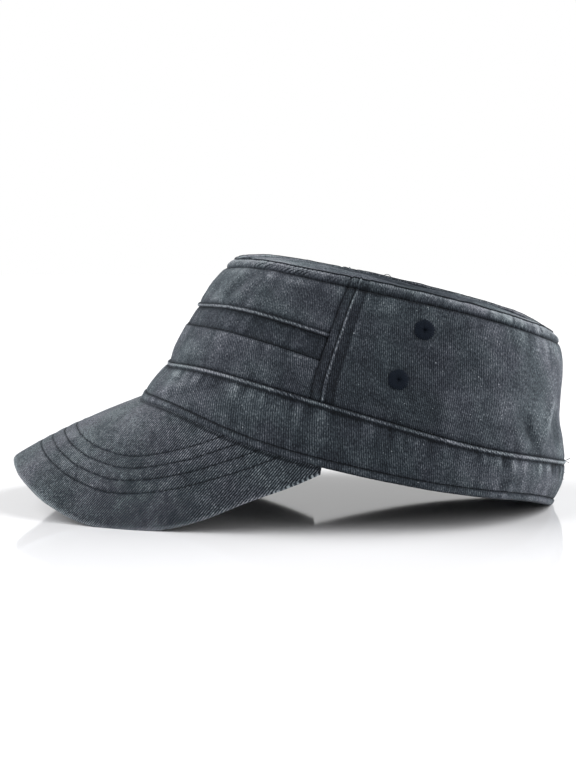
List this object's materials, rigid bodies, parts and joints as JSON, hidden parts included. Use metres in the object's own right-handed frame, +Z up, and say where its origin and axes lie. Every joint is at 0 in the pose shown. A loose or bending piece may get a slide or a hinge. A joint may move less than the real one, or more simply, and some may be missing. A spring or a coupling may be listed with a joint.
{
  "type": "patrol cap",
  "caption": "Flat-topped washed twill cap with a sewn band, felled seams, a recessed front strip, sewn eyelets and a curved stitched visor, resting on its visor and rim.",
  "frame": {"origin": "middle of the bounding box on the floor", "axes": "+Z up, the visor points along -Y, the wearer's left is +X"},
  "size_m": [0.168, 0.2674, 0.1182],
  "materials": {
    "crown_twill": "washed black cotton twill, faded on the raised folds",
    "strip_twill": "washed black cotton twill, darker and less faded",
    "visor_twill": "washed black cotton twill over a stiff board, faded at the front",
    "eyelet_thread": "close dark sewing thread"
  },
  "bodies": {
    "root": {"crown_top": "crown_twill", "top_welt": "crown_twill", "front_panel_upper": "crown_twill", "front_strip": "strip_twill", "front_panel_lower": "crown_twill", "side_seam_left": "crown_twill", "side_seam_right": "crown_twill", "back_panel": "crown_twill", "band": "crown_twill", "rim_welt": "crown_twill", "visor": "visor_twill", "eyelet_left_upper": "eyelet_thread", "eyelet_left_lower": "eyelet_thread", "eyelet_right_upper": "eyelet_thread", "eyelet_right_lower": "eyelet_thread"}
  },
  "joints": []
}
